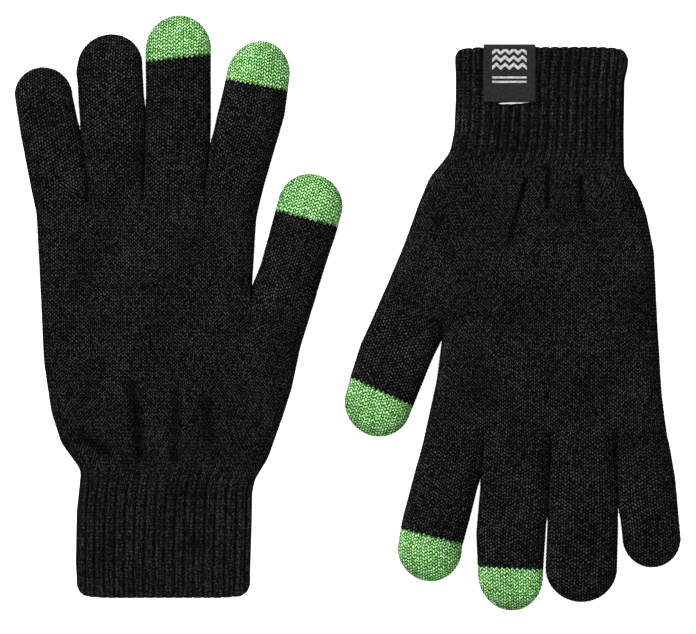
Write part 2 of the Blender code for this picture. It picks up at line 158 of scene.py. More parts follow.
# ---------------------------------------------------------------- the two gloves' shapes
# Outlines are (y, x) points and tips are (y, x) too. webs holds the x of the webs between the
# fingers, parting the y where neighbours come apart, hem_ribs how deep the ribs are at the cuff's
# very edge, and hem_corners the radii of its corners. A cap is where green yarn starts, and the
# slope of that line. A thumb is drawn in its own frame, which starts at its crotch.
GLOVES = {
    "right": {
        "origin": (-74.33, -115.45), "turn": 0, "palm_up": True, "seed": 11,
        "wrist": 50.0, "web": 167.0, "wrist_blend": (58.0, 42.0), "hem_corners": (3.8, 3.8),
        "left_edge": [(-2, -35.4), (2.4, -35.7), (14, -36.2), (35, -35.8), (50.6, -34.1),
                      (52.6, -34.6), (62.8, -41.9), (75.3, -45.9), (96, -48.9), (120.3, -50.0),
                      (155.5, -51.9), (167, -54.4), (180, -56.6)],
        "right_edge": [(-2, 34.6), (2.4, 34.8), (30.4, 35.7), (42.9, 35.9), (48, 37.0),
                       (56.3, 41.9), (73.7, 48.1), (85, 51.7), (101.3, 55.1), (115, 59.3),
                       (119, 60.6), (130, 64.2)],
        "index_edge": [(120, 35.4), (126, 35.6), (154, 37.3), (168.9, 40.9), (180, 44.3)],
        "webs": (-30.9, -8.5, 16.4), "parting": (188.9, 198.6, 183.2), "hem_ribs": 0.12,
        "fingers": {
            "little": {"left": [(160, -53.0), (167, -54.4), (187.9, -58.4), (203.5, -60.8)],
                       "right": [(160, -30.9), (167, -30.9), (188.7, -34.1), (203.5, -37.2)],
                       "tip": (215.0, -49.2), "mid": 185.0, "end": 200.0, "cap": None},
            "ring": {"left": [(160, -30.9), (167, -30.9), (188.7, -33.9), (200, -34.9),
                              (208, -35.2), (213.2, -36.1), (215.5, -35.4)],
                     "right": [(160, -8.5), (167, -8.5), (195, -7.7), (215.5, -8.9)],
                     "tip": (228.4, -21.4), "mid": 190.0, "end": 208.0, "cap": None},
            "middle": {"left": [(160, -8.5), (167, -8.5), (195, -7.5), (222, -7.8)],
                       "right": [(160, 16.4), (167, 16.4), (182.5, 18.2), (190, 18.9), (222, 18.9)],
                       "tip": (236.0, 5.9), "mid": 192.5, "end": 213.5, "cap": (218.3, 0.11)},
            "index": {"left": [(160, 16.4), (167, 16.4), (182.5, 18.3), (211, 24.9)],
                      "right": [(160, 38.6), (167, 40.4), (195.2, 48.7), (211, 50.8)],
                      "tip": (225.6, 39.0), "mid": 187.5, "end": 203.0, "cap": (208.5, -0.17)},
        },
        "thumb": {"crotch": (35.6, 126.0), "tilt": 16.0,
                  "left": [(0, 0.0), (10, 0.7), (38, 0.3)],
                  "right": [(0, 25.8), (18, 26.2), (28, 26.7), (38, 26.7)],
                  "tip": (51.0, 13.4), "end": 24.0, "cap": (32.2, 0.02)},
        # gathers at the wrist: the ends of each groove, and its depth, which also sets its painted
        # shade
        "gather_wide": 2.9,
        "gathers": [((-12.6, 86), (-9.5, 58), 0.75), ((4.9, 82), (4.4, 56), 0.65),
                    ((17, 78), (20, 57), 0.5), ((-32.4, 64.6), (-22.7, 58.9), 0.75)],
    },
    "left": {
        "origin": (78.13, 107.75), "turn": 180, "palm_up": False, "seed": 29,
        "wrist": 46.0, "web": 163.0, "wrist_blend": (54.0, 38.0), "hem_corners": (3.8, 2.2),
        "left_edge": [(-2, -35.6), (4, -35.4), (14, -34.1), (34, -33.8), (49.0, -33.9),
                      (51.4, -34.9), (58.3, -39.3), (68, -42.8), (83, -45.8), (110.6, -47.1),
                      (140, -48.9), (156.3, -51.0), (163, -52.5), (174.2, -54.8)],
        "right_edge": [(-2, 34.6), (2, 34.8), (20, 34.8), (34, 35.4), (42.5, 37.1),
                       (46.2, 39.8), (52.7, 45.0), (64, 49.7), (79.4, 55.2), (95.2, 61.8),
                       (107.2, 67.1), (120, 72.6)],
        "index_edge": [(112, 39.3), (118.3, 40.2), (134.5, 42.2), (160, 47.8), (174, 51.3)],
        "webs": (-30.4, -3.8, 23.4), "parting": (186.2, 188.5, 173.7), "hem_ribs": 0.28,
        "fingers": {
            "little": {"left": [(156, -50.7), (163, -52.3), (174.2, -54.5), (199, -56.7)],
                       "right": [(156, -30.4), (163, -30.4), (184, -31.2), (199, -33.0)],
                       "tip": (211.0, -45.0), "mid": 181.5, "end": 196.0, "cap": None},
            "ring": {"left": [(156, -30.4), (163, -30.4), (193, -31.4), (211, -31.0)],
                     "right": [(156, -3.8), (163, -3.8), (184, -3.0), (211, -1.8)],
                     "tip": (225.0, -16.4), "mid": 186.0, "end": 204.0, "cap": None},
            "middle": {"left": [(156, -3.8), (163, -3.8), (184, -2.9), (214, -0.9)],
                       "right": [(156, 23.4), (163, 23.4), (174, 24.3), (197, 26.3), (214, 25.6)],
                       "tip": (228.4, 11.8), "mid": 188.0, "end": 206.5, "cap": (210.7, -0.05)},
            "index": {"left": [(156, 23.4), (163, 23.4), (174, 24.4), (192, 28.9), (203, 31.9)],
                      "right": [(156, 46.8), (163, 48.7), (192, 56.4), (203, 58.2)],
                      "tip": (216.6, 44.7), "mid": 181.5, "end": 193.0, "cap": (198.4, -0.24)},
        },
        "thumb": {"crotch": (40.2, 118.3), "tilt": 22.8,
                  "left": [(0, 0.0), (10, 0.2), (34, -0.1)],
                  "right": [(0, 29.0), (15, 29.5), (28, 28.3), (34, 27.5)],
                  "tip": (47.4, 13.2), "end": 22.0, "cap": (29.0, -0.03)},
        "gather_wide": 1.3,
        "gathers": [((6.2, 54), (9.6, 66), 0.9), ((9.6, 66), (13.4, 81), 0.7),
                    ((-3.0, 50), (-2.5, 65), 0.8), ((-16.0, 53), (-16.2, 63), 0.9),
                    ((-16.2, 63), (-18, 70), 0.5), ((-25, 60), (-22, 50), 0.4),
                    ((17, 54), (22, 66), 0.3)],
    },
}


# ---------------------------------------------------------------- small helpers
def ease(value, start, end):
    """0 before start, 1 after end, and smooth between them."""
    t = np.clip((np.asarray(value, float) - start) / (end - start), 0, 1)
    return t * t * (3 - 2 * t)


def smooth_line(points, spread):
    """A function of y that follows (y, x) points with its corners rounded."""
    ys, xs = zip(*points)
    fine = np.arange(ys[0], ys[-1] + 0.25, 0.25)
    raw = np.interp(fine, ys, xs)
    reach = int(spread * 12)
    kernel = np.exp(-0.5 * (np.arange(-reach, reach + 1) * 0.25 / spread) ** 2)
    kernel /= kernel.sum()
    first = raw[0] + (raw[1] - raw[0]) * np.arange(-reach, 0)
    last = raw[-1] + (raw[-1] - raw[-2]) * np.arange(1, reach + 1)
    soft = np.convolve(np.concatenate([first, raw, last]), kernel, mode="valid")
    return lambda y: np.interp(y, fine, soft)


def rounding(distance):
    """Share of its full height that a tube has at a distance from its edge."""
    q = np.clip(distance / EDGE_ROUND, 0, 1)
    return (1 - (1 - q) ** EDGE_POWER) ** (1 / EDGE_POWER)


def spread_evenly(x, z, count):
    """count + 1 points at equal lengths along the line (x, z)."""
    length = np.concatenate([[0], np.cumsum(np.hypot(np.diff(x), np.diff(z)))])
    at = np.linspace(0, length[-1], count + 1)
    return np.interp(at, length, x), np.interp(at, length, z)


def cosine_steps(count):
    return (1 - np.cos(np.linspace(0, pi, count))) / 2


def hand_height(glove, y):
    """The hand lies highest at its middle and thins towards the cuff and the knuckles."""
    share = np.clip((y - glove["wrist"]) / (glove["web"] - glove["wrist"]), 0, 1)
    ends = CUFF_HIGH + (FINGER_HIGH - CUFF_HIGH) * share
    return ends + (PALM_HIGH - (CUFF_HIGH + FINGER_HIGH) / 2) * np.sin(pi * share)


def hem_lift(corner, inwards):
    """How far the cuff's edge rises at a distance from its side: a rounded corner, then a slope."""
    round_part = corner * (1 - np.sqrt(1 - np.clip(1 - inwards / corner, 0, 1) ** 2))
    return round_part + HEM_SLOPE * np.clip(1 - inwards / HEM_SLOPE_REACH, 0, 1) ** 2


# ---------------------------------------------------------------- rows of the cuff and the hand
def hand_row(glove, lines, y, inset):
    """One row round the cuff or hand: for each finger's share of the wales, its points on the
    upper sheet. The lower sheet mirrors them about the row's middle height."""
    inset += SKIN_INSET
    crotch_x, crotch_y = glove["thumb"]["crotch"]
    half = hand_height(glove, y) / 2 - inset
    left = lines["left"](y) + inset
    joined = y <= crotch_y + 1e-6
    slope = tan(radians(glove["thumb"]["tilt"])) * ease(y, THUMB_FROM, crotch_y) if joined else 0.0
    split_share = sum(WALES[f] for f in FINGERS) / sum(WALES.values())
    if joined:
        towards_crotch = ease(y, SHARE_FROM, crotch_y)
        right = lines["right"](y) - inset
        for _ in range(6):
            even = left + (right - left) * split_share
            split = even + (crotch_x - even) * towards_crotch
            right = lines["right"](y - slope * (right - split)) - inset
    else:
        right = split = lines["index"](y) - inset

    def panel(x):
        return half * rounding(np.minimum(x - left, right - x))

    x = left + (split - left) * np.linspace(0, 1, 400)
    length = np.concatenate([[0], np.cumsum(np.hypot(np.diff(x), np.diff(panel(x))))])
    total = sum(WALES[f] for f in FINGERS)
    towards_webs = ease(y, SHARE_FROM, glove["web"])
    borders, done = [left], 0
    for finger, web_x in zip(FINGERS[:3], glove["webs"]):
        done += WALES[finger]
        even = np.interp(length[-1] * done / total, length, x)
        borders.append(even + (web_x - even) * towards_webs)
    borders.append(split)
    dives = [0.0] + [float(ease(y, glove["web"] - WEB_DIVE, glove["web"]))] * 3
    dives.append(float(ease(y, crotch_y - WEB_DIVE, crotch_y)) if joined else 0.0)
    names = list(FINGERS)
    if joined:
        borders.append(right)
        dives.append(0.0)
        names.append("thumb")
    row = {}
    for k, name in enumerate(names):
        x = borders[k] + (borders[k + 1] - borders[k]) * cosine_steps(60)
        z = panel(x)
        z = z * (1 - dives[k] * (1 - rounding(x - borders[k])))
        z = z * (1 - dives[k + 1] * (1 - rounding(borders[k + 1] - x)))
        x, z = spread_evenly(x, z, WALES[name] * COLUMNS)
        lowered = slope * np.maximum(x - split, 0)
        corner = glove["hem_corners"][0 if name in ("little", "ring") else 1]
        lift = hem_lift(corner, np.minimum(x - left, right - x)) * (1 - ease(y, 0, HEM_FADE))
        row[name] = np.stack([x, y - lowered + lift, z], axis=-1)
    return row


# ---------------------------------------------------------------- fingers
def finger_sheet(finger, start, first_row):
    """The rows of one finger from its root to its tip, as (x, y, height above its middle). Each
    wale runs straight on and ends on the outline of the rounded tip. first_row is the hand's last
    row, in the finger's own frame, which the finger grows out of."""
    count = first_row.shape[0]
    left, right = (smooth_line(finger[side], FINGER_SOFT) for side in ("left", "right"))
    shoulder = finger["left"][-1][0]
    tip_y, tip_x = finger["tip"]
    half_high = FINGER_HIGH / 2 - SKIN_INSET

    def side_inset(y, parting):
        """The outline's inset; where two fingers touch they press into each other."""
        if parting is None:
            return SKIN_INSET
        apart = ease(y, parting, parting + PARTING_FADE)
        return -FINGER_PRESS + (SKIN_INSET + FINGER_PRESS) * apart

    y = np.append(np.arange(start, shoulder, 0.8), shoulder)
    left_side = left(y) + side_inset(y, finger["partings"][0])
    right_side = right(y) - side_inset(y, finger["partings"][1])
    middle = (left_side + right_side) / 2
    width = (right_side - left_side) / 2
    share = width[0] * np.cos(np.linspace(pi, 0, 200))
    x0, z0 = spread_evenly(share, half_high * rounding(width[0] - np.abs(share)), count - 1)
    s = x0 / width[0]

    t_end = np.sqrt(np.clip(1 - s ** 2, 0, 1))
    t = t_end[None, :] * np.sin(np.linspace(0, pi / 2, 50))[1:, None]
    r = np.sqrt(s[None, :] ** 2 + t ** 2)
    dome_z = half_high * rounding((1 - r) * width[-1]) * (1 - DOME_FLATTEN * t ** 2)
    dome_z[-1] = 0.0
    dome_x = middle[-1] + s[None, :] * width[-1] + (tip_x - middle[-1]) * t
    dome_y = shoulder + (tip_y - SKIN_INSET - shoulder) * t
    tube_x = middle[:, None] + s[None, :] * width[:, None]
    tube_y = np.repeat(y[:, None], count, axis=1)
    tube_z = np.repeat(z0[None, :], len(y), axis=0)
    path = np.stack([np.vstack([tube_x, dome_x]), np.vstack([tube_y, dome_y]),
                     np.vstack([tube_z, dome_z])], axis=-1)

    steps = np.linalg.norm(np.diff(path, axis=0), axis=-1)
    length = np.vstack([np.zeros(count), np.cumsum(steps, axis=0)])
    rows = int(np.ceil((length[-1].max() + 2 * COURSE) / ROW))
    along = np.arange(rows)[:, None] * ROW * np.ones(count)
    if finger["cap"]:
        cap_y, slope = finger["cap"]
        lean = slope * s * width[-1]
        along = along + lean * ease(along, 12, cap_y - start) * (along > 0)
    sheet = np.empty((rows, count, 3))
    for c in range(count):
        for axis in range(3):
            sheet[:, c, axis] = np.interp(along[:, c], length[:, c], path[:, c, axis])
    fade = 1 - ease(np.arange(rows) * ROW, 0, ROOT_FADE)
    sheet += (first_row - sheet[0])[None] * fade[:, None, None]
    sheet[:, [0, -1], 2] = 0.0
    return sheet


def in_thumb_frame(points, thumb):
    """From the glove's frame to the thumb's own, which starts at its crotch."""
    c, s = cos(radians(thumb["tilt"])), sin(radians(thumb["tilt"]))
    x, y = points[..., 0] - thumb["crotch"][0], points[..., 1] - thumb["crotch"][1]
    return np.stack([x * c - y * s, x * s + y * c, points[..., 2]], axis=-1)


def from_thumb_frame(points, thumb):
    c, s = cos(radians(thumb["tilt"])), sin(radians(thumb["tilt"]))
    x, y = points[..., 0], points[..., 1]
    return np.stack([thumb["crotch"][0] + x * c + y * s, thumb["crotch"][1] - x * s + y * c,
                     points[..., 2]], axis=-1)


# ---------------------------------------------------------------- one glove's whole surface
def hem_steps():
    """(y, inset) of the rows that run down inside the cuff and turn round its edge."""
    radius = HEM_THICK / 2
    lowest = HEM_LINE + radius
    down = [(y, HEM_THICK) for y in np.arange(HEM_DEPTH, lowest, -ROW)]
    turns = max(2, round(pi * radius / ROW))
    turn = [(lowest - radius * sin(pi * k / turns), radius + radius * cos(pi * k / turns))
            for k in range(turns + 1)]
    return down + turn


def knit_glove(glove):
    """Every finger's columns from the turned-in hem to its tip: the upper sheet as heights above
    a middle height, those middle heights, and how many of the rows belong to the hand."""
    lines = {"left": smooth_line(glove["left_edge"], LINE_SOFT[0]),
             "right": smooth_line(glove["right_edge"], LINE_SOFT[0]),
             "index": smooth_line(glove["index_edge"], LINE_SOFT[1])}
    crotch_y = glove["thumb"]["crotch"][1]
    steps = hem_steps()
    lowest = HEM_LINE + HEM_THICK / 2
    below = int(round((crotch_y - lowest) / ROW))
    above = int(round((glove["web"] - crotch_y) / ROW))
    steps += [(y, 0.0) for y in np.linspace(lowest, crotch_y, below + 1)[1:]]
    steps += [(y, 0.0) for y in np.linspace(crotch_y, glove["web"], above + 1)[1:]]
    rows = [hand_row(glove, lines, y, inset) for y, inset in steps]
    levels = np.array([hand_height(glove, y) / 2 for y, _ in steps])
    sheets = {}
    for name in WALES:
        mine = np.array([row[name] for row in rows if name in row])
        if name == "thumb":
            thumb = dict(glove["thumb"], partings=(None, None))
            first = in_thumb_frame(mine[-1], thumb)
            tube = from_thumb_frame(finger_sheet(thumb, 0.0, first), thumb)
        else:
            place = FINGERS.index(name)
            partings = (None, *glove["parting"], None)
            finger = dict(glove["fingers"][name], partings=partings[place:place + 2])
            tube = finger_sheet(finger, glove["web"], mine[-1])
        level = np.concatenate([levels[:len(mine)], np.full(len(tube) - 1, FINGER_HIGH / 2)])
        if name == "thumb":
            drop = levels[len(mine) - 1] - FINGER_HIGH / 2
            settle = 1 - ease(np.arange(len(tube) - 1) * ROW, 0, THUMB_SETTLE)
            level[len(mine):] += drop * settle
        sheets[name] = {"grid": np.concatenate([mine, tube[1:]]), "hand_rows": len(mine),
                        "level": level}
    return sheets


def gather_depth(glove, x, y):
    """How far the fabric sinks at each point in the gathers above the wrist."""
    depth = np.zeros_like(x)
    wide = glove["gather_wide"]
    for (ax, ay), (bx, by), deep in glove["gathers"]:
        t = ((x - ax) * (bx - ax) + (y - ay) * (by - ay)) / ((bx - ax) ** 2 + (by - ay) ** 2)
        near = np.clip(t, 0, 1)
        away = np.hypot(x - ax - near * (bx - ax), y - ay - near * (by - ay))
        sunk = deep * np.exp(-(away / wide) ** 2)
        raised = 0.3 * deep * np.exp(-((away - 2.4 * wide) / wide) ** 2)
        depth = np.maximum(depth, sunk) - raised
    return depth


def undulation(x, y, seed):
    """A slow unevenness of the lying fabric."""
    rng = np.random.default_rng(seed)
    total = np.zeros_like(x)
    for _ in range(10):
        wave, turn = rng.uniform(*SWAY_WAVES), rng.uniform(0, 2 * pi)
        total += np.sin((x * cos(turn) + y * sin(turn)) * 2 * pi / wave + rng.uniform(0, 6))
    return total / 10


def build_surface(glove):
    """Vertices, quads and per-vertex stitch data of one glove, with neighbours welded."""
    rng = np.random.default_rng(glove["seed"])
    sheets = knit_glove(glove)
    points, quads, owner, rows_of = [], [], [], []
    data = {key: [] for key in ("relief", "wale", "course", "rib", "strand", "upper")}
    start, wale_start = 0, 0
    for name, sheet in sheets.items():
        grid, level = sheet["grid"], sheet["level"]
        columns = grid.shape[1]
        shifted = np.arange(columns) + EDGE_PHASE
        wale, phase = shifted // COLUMNS, shifted % COLUMNS
        rows = grid.shape[0] - ROWS
        r, c = np.meshgrid(np.arange(rows), np.arange(columns), indexing="ij")

        # the columns slip along the rows by turns, which slants the two legs of each stitch
        slip = np.abs(2 * phase / COLUMNS - 1)[c] * LEG_SLANT * ROWS
        whole = np.floor(slip).astype(int)
        part = slip - whole
        after = np.minimum(r + whole + 1, len(grid) - 1)
        flat = grid[r + whole, c] * (1 - part[..., None]) + grid[after, c] * part[..., None]
        middle = level[r + whole] * (1 - part) + level[after] * part

        strand = np.array(STRAND_HEIGHTS)[r % ROWS]
        height = np.array(LEG_HEIGHTS)[phase][c] * strand
        stitch = rng.normal(0, 1, (2, rows // ROWS + 2, columns // COLUMNS + 2))
        turn = wale_start + (shifted / COLUMNS)[c]
        for side, sign in enumerate((1, -1)):
            p = flat.copy()
            p[..., 2] = middle + sign * flat[..., 2]
            points.append(p.reshape(-1, 3))
            loose = stitch[side][r // ROWS, wale[None, :]]
            data["relief"].append(height * (1 + STITCH_UNEVEN * np.clip(loose, -2, 2)))
            data["strand"].append(strand)
            data["rib"].append(np.cos(2 * pi * (turn / RIB_WALES)))
            data["wale"].append(turn)
            data["course"].append(r / ROWS)
            data["upper"].append(np.full(r.shape, sign))
            i = (r * columns + c)[:-1, :-1] + start
            loop = (i, i + 1, i + columns + 1, i + columns)
            quads.append(np.stack(loop[::sign], axis=-1).reshape(-1, 4))
            owner.append(np.full((rows - 1) * (columns - 1), list(WALES).index(name)))
            rows_of.append(r[:-1, :-1].ravel())
            start += rows * columns
        wale_start += WALES[name]
    points, quads = np.concatenate(points), np.concatenate(quads)
    owner, rows_of = np.concatenate(owner), np.concatenate(rows_of)
    _, first, back = np.unique(np.rint(points * WELDS + WELD_SHIFT), axis=0, return_index=True,
                               return_inverse=True)
    quads = back.reshape(-1)[quads]
    data = {key: np.concatenate([part.ravel() for part in parts])[first]
            for key, parts in data.items()}
    keep = face_sizes(quads) > 2
    return points[first], quads[keep], owner[keep], rows_of[keep], data, sheets


def face_sizes(quads):
    """How many different corners each face has."""
    ordered = np.sort(quads, axis=1)
    return 1 + (np.diff(ordered, axis=1) > 0).sum(axis=1)


def vertex_normals(points, quads):
    a, b, c, d = (points[quads[:, k]] for k in range(4))
    face = np.cross(c - a, d - b)
    normals = np.zeros_like(points)
    for k in range(4):
        for axis in range(3):
            normals[:, axis] += np.bincount(quads[:, k], face[:, axis], minlength=len(points))
    return normals / np.maximum(np.linalg.norm(normals, axis=1, keepdims=True), 1e-9)


def shape_fabric(glove, points, quads, data):
    """Raises the stitches and ribs and sinks the gathers, along the surface's own normals, and
    keeps the painted shade of ribs and gathers and how level the surface lies, for the yarn's
    colour.
    """
    normals = vertex_normals(points, quads)
    x, y = points[:, 0], points[:, 1]
    level = np.abs(normals[:, 2])    # 1 where the fabric lies level, 0 at its edges
    cuff = 1 - ease(y, *(glove["wrist"] + shift for shift in RIB_FADE))
    top = np.where(data["upper"] > 0, ease(normals[:, 2], 0.1, 0.8), 0.0)

    # stitches are pressed flat where two fingers touch
    pressed = np.ones_like(x)
    for parting, line in zip(glove["parting"], FINGERS):
        edge = smooth_line(glove["fingers"][line]["right"], FINGER_SOFT)(y)
        near = (np.abs(x - edge) < 2.5) & (y > glove["web"] - 4) & (y < parting + 2)
        pressed = np.where(near, 1 - 0.75 * (1 - level), pressed)

    # the ribs are shallower at the cuff's very edge, and run out at its corners
    groove = gather_depth(glove, x, y) * top
    ribbed = cuff * (glove["hem_ribs"] + (1 - glove["hem_ribs"]) * ease(y, 0, 8))
    left, right = (smooth_line(glove[key], LINE_SOFT[1])(y) for key in ("left_edge", "right_edge"))
    corner = (1 - ease(np.minimum(x - left, right - x), 1, 6)) * (1 - ease(y, 6, 14))
    ribbed = ribbed * (1 - corner)

    pair = np.abs(np.sin(pi * data["wale"] / 2)) * (0.4 + 0.6 * data["strand"])
    flat_on = ease(level, 0.05, 0.6)
    stitch = data["relief"] * (1 - cuff) + pair * cuff
    height = STITCH_HIGH * (stitch * (0.3 + 0.7 * flat_on) + 0.35 * (1 - flat_on)) * pressed
    height = height + RIB_HIGH * (data["rib"] - 1) * 0.5 * ribbed
    height = height - GATHER_DEEP * groove
    sway = undulation(x, y, glove["seed"]) - 0.5
    height = height + SWAY * sway * top * (1 - 0.5 * cuff)

    # painted shade and highlight: the cuff's ribs are painted lighter on their crests and darker in
    # their furrows, the gathers are painted dark as shade, and the yarn's tone drifts a little
    furrow = RIB_SHADE * (1 - data["rib"]) * cuff
    painted_shade_and_tone = (1 + 0.25 * cuff) * (1 - furrow) * (1 - np.clip(1.1 * groove, 0, 0.98) ** 1.3)
    drift = 1 + 0.5 * undulation(x, y, glove["seed"] + 1)
    data["painted_shade_and_tone"] = np.clip(painted_shade_and_tone * drift, 0.1, 1.4)
    # how level the surface lies; the yarn paints shade from it towards the outline
    data["facing"] = ease(level, 0.0, 0.75)
    data["cuff"] = cuff
    return points + normals * height[:, None]


# ---------------------------------------------------------------- materials
def new_material(name):
    """A material, its node tree and its shader."""
    material = bpy.data.materials.new(name)
    material.use_nodes = True
    return material, material.node_tree, material.node_tree.nodes["Principled BSDF"]


def node(tree, kind, **settings):
    made = tree.nodes.new(kind)
    for key, value in settings.items():
        setattr(made, key, value)
    return made


def ramp(tree, source, stops):
    """A colour ramp through (position, colour) stops, read from source."""
    made = tree.nodes.new("ShaderNodeValToRGB")
    elements = made.color_ramp.elements
    while len(elements) < len(stops):
        elements.new(0.5)
    for element, (place, colour) in zip(elements, stops):
        element.position = place
        element.color = (*colour, 1)
    tree.links.new(source, made.inputs["Fac"])
    return made


def calc(tree, operation, first, second=None, third=None):
    """The output of a Math node; each input is a number or another node's output."""
    made = tree.nodes.new("ShaderNodeMath")
    made.operation = operation
    for socket, value in zip(made.inputs, (first, second, third)):
        if value is None:
            continue
        if isinstance(value, (int, float)):
            socket.default_value = value
        else:
            tree.links.new(value, socket)
    return made.outputs[0]


def attribute(tree, name):
    return node(tree, "ShaderNodeAttribute", attribute_name=name).outputs["Fac"]


def noise(tree, scale, detail=2.0):
    """Unevenness fixed to the piece, with features about 1/scale metres across."""
    place = tree.nodes.new("ShaderNodeTexCoord").outputs["Object"]
    made = tree.nodes.new("ShaderNodeTexNoise")
    made.inputs["Scale"].default_value = scale
    made.inputs["Detail"].default_value = detail
    tree.links.new(place, made.inputs["Vector"])
    return made.outputs["Fac"]


def multiply_colour(tree, colour, factor):
    """A colour darkened or lightened by a number."""
    made = node(tree, "ShaderNodeMix", data_type="RGBA", blend_type="MULTIPLY")
    made.inputs["Factor"].default_value = 1.0
    tree.links.new(colour, made.inputs[6])
    tree.links.new(factor, made.inputs[7])
    return made.outputs[2]


def add_bump(tree, shader, height, strength, distance):
    bump = node(tree, "ShaderNodeBump")
    bump.inputs["Strength"].default_value = strength
    bump.inputs["Distance"].default_value = distance
    tree.links.new(height, bump.inputs["Height"])
    tree.links.new(bump.outputs["Normal"], shader.inputs["Normal"])


def knit_material(name, yarn):
    """Knitted yarn: two slanting legs to a stitch, with painted shade in the gaps and a painted
    highlight on the crests, and uneven from leg to leg and along the fibres."""
    material, tree, shader = new_material(name)
    link = tree.links.new
    wale, course = (calc(tree, "MULTIPLY_ADD", noise(tree, scale, 1.0), far, attribute(tree, key))
                    for key, (scale, far) in (("wale", WALE_WANDER), ("course", COURSE_WANDER)))

    # the two legs of a stitch on the hand, and the broader pairs of wales on the cuff
    waves = []
    for turns in (2 * pi, pi / 2):
        wave = calc(tree, "ABSOLUTE", calc(tree, "SINE", calc(tree, "MULTIPLY", wale, turns)))
        waves.append(calc(tree, "MULTIPLY_ADD", wave, 0.9, 0.1))
    legs = node(tree, "ShaderNodeMix", data_type="FLOAT")
    link(attribute(tree, "cuff"), legs.inputs[0])
    link(waves[0], legs.inputs[2])
    link(calc(tree, "MULTIPLY_ADD", waves[1], 0.5, 0.35), legs.inputs[3])
    strand = calc(tree, "COSINE", calc(tree, "MULTIPLY", course, 2 * pi))
    depth = yarn["strand_depth"]
    strand = calc(tree, "MULTIPLY_ADD", strand, -depth, 1 - depth)
    relief_and_painted_light = calc(tree, "MULTIPLY", legs.outputs[0], strand)

    # every leg has a tone of its own
    cell = tree.nodes.new("ShaderNodeCombineXYZ")
    link(calc(tree, "FLOOR", calc(tree, "MULTIPLY", wale, 2.0)), cell.inputs[0])
    link(calc(tree, "FLOOR", course), cell.inputs[1])
    loose = node(tree, "ShaderNodeTexWhiteNoise", noise_dimensions="3D")
    link(cell.outputs[0], loose.inputs["Vector"])
    contrast, fuzz = yarn["contrast"], yarn["fuzz"]
    uneven = calc(tree, "MULTIPLY_ADD", loose.outputs["Value"], contrast, 1 - contrast / 2)
    hair = noise(tree, FIBRE_SCALE, 3.0)
    fibres = calc(tree, "MULTIPLY_ADD", hair, fuzz, -fuzz / 2)
    lit = calc(tree, "ADD", calc(tree, "MULTIPLY", relief_and_painted_light, uneven), fibres)
    # the ramp paints shade into the gaps and the ends of legs, and a highlight onto the crests
    colour = ramp(tree, lit, yarn["stops"]).outputs["Color"]
    # painted shade of the cuff's furrows and the gathers, with the yarn's drifting tone
    colour = multiply_colour(tree, colour, attribute(tree, "painted_shade_and_tone"))
    # painted shade: the yarn is darkened towards the outline, where the surface turns away from
    # level
    rim = yarn["rim"]
    outline = calc(tree, "MULTIPLY_ADD", attribute(tree, "facing"), rim, 1 - rim)
    link(multiply_colour(tree, colour, outline), shader.inputs["Base Color"])
    relief = calc(tree, "ADD", relief_and_painted_light, calc(tree, "MULTIPLY", hair, 0.6))
    add_bump(tree, shader, relief, 0.5, 0.0002)
    shader.inputs["Roughness"].default_value = yarn["roughness"]
    shader.inputs["Specular IOR Level"].default_value = 0.03
    shader.inputs["Sheen Weight"].default_value = yarn["sheen"]
    shader.inputs["Sheen Roughness"].default_value = 0.5
    return material


def label_material():
    """Woven satin: fine crossing threads in black, with the light threads of the ornament."""
    material, tree, shader = new_material("woven_label_cloth")
    weave = []
    for key in ("warp", "weft"):
        wave = calc(tree, "SINE", calc(tree, "MULTIPLY", attribute(tree, key), 2 * pi))
        weave.append(calc(tree, "MULTIPLY_ADD", wave, 0.5, 0.5))
    cloth = calc(tree, "MULTIPLY", weave[0], weave[1])
    grain = calc(tree, "MULTIPLY_ADD", noise(tree, 900.0), 1.6, -0.8)
    lit = calc(tree, "ADD", cloth, grain)
    mixed = node(tree, "ShaderNodeMix", data_type="RGBA", blend_type="MIX")
    sharp = ramp(tree, attribute(tree, "mark"), [(0.4, (0.0,) * 3), (0.6, (1.0,) * 3)])
    tree.links.new(sharp.outputs["Color"], mixed.inputs["Factor"])
    tree.links.new(ramp(tree, lit, LABEL_GROUND).outputs["Color"], mixed.inputs[6])
    tree.links.new(ramp(tree, lit, LABEL_THREADS).outputs["Color"], mixed.inputs[7])
    tree.links.new(mixed.outputs[2], shader.inputs["Base Color"])
    add_bump(tree, shader, lit, 0.4, 0.00008)
    shader.inputs["Roughness"].default_value = 0.6
    shader.inputs["Specular IOR Level"].default_value = 0.2
    return material


def selvedge_material():
    """The label's pale cut edge, slightly stringy."""
    material, tree, shader = new_material("label_selvedge_thread")
    pale = ramp(tree, noise(tree, 1800.0), SELVEDGE_PALE)
    tree.links.new(pale.outputs["Color"], shader.inputs["Base Color"])
    shader.inputs["Roughness"].default_value = 0.8
    return material


# ---------------------------------------------------------------- pieces
SHADER_DATA = ("wale", "course", "painted_shade_and_tone", "facing", "cuff", "mark", "warp", "weft")


def placed(glove, points):
    """From a glove's frame in millimetres to the row frame in metres."""
    c, s = cos(radians(glove["turn"])), sin(radians(glove["turn"]))
    x, y = points[..., 0], points[..., 1]
    return np.stack([x * c - y * s + glove["origin"][0], x * s + y * c + glove["origin"][1],
                     points[..., 2]], axis=-1) * MM


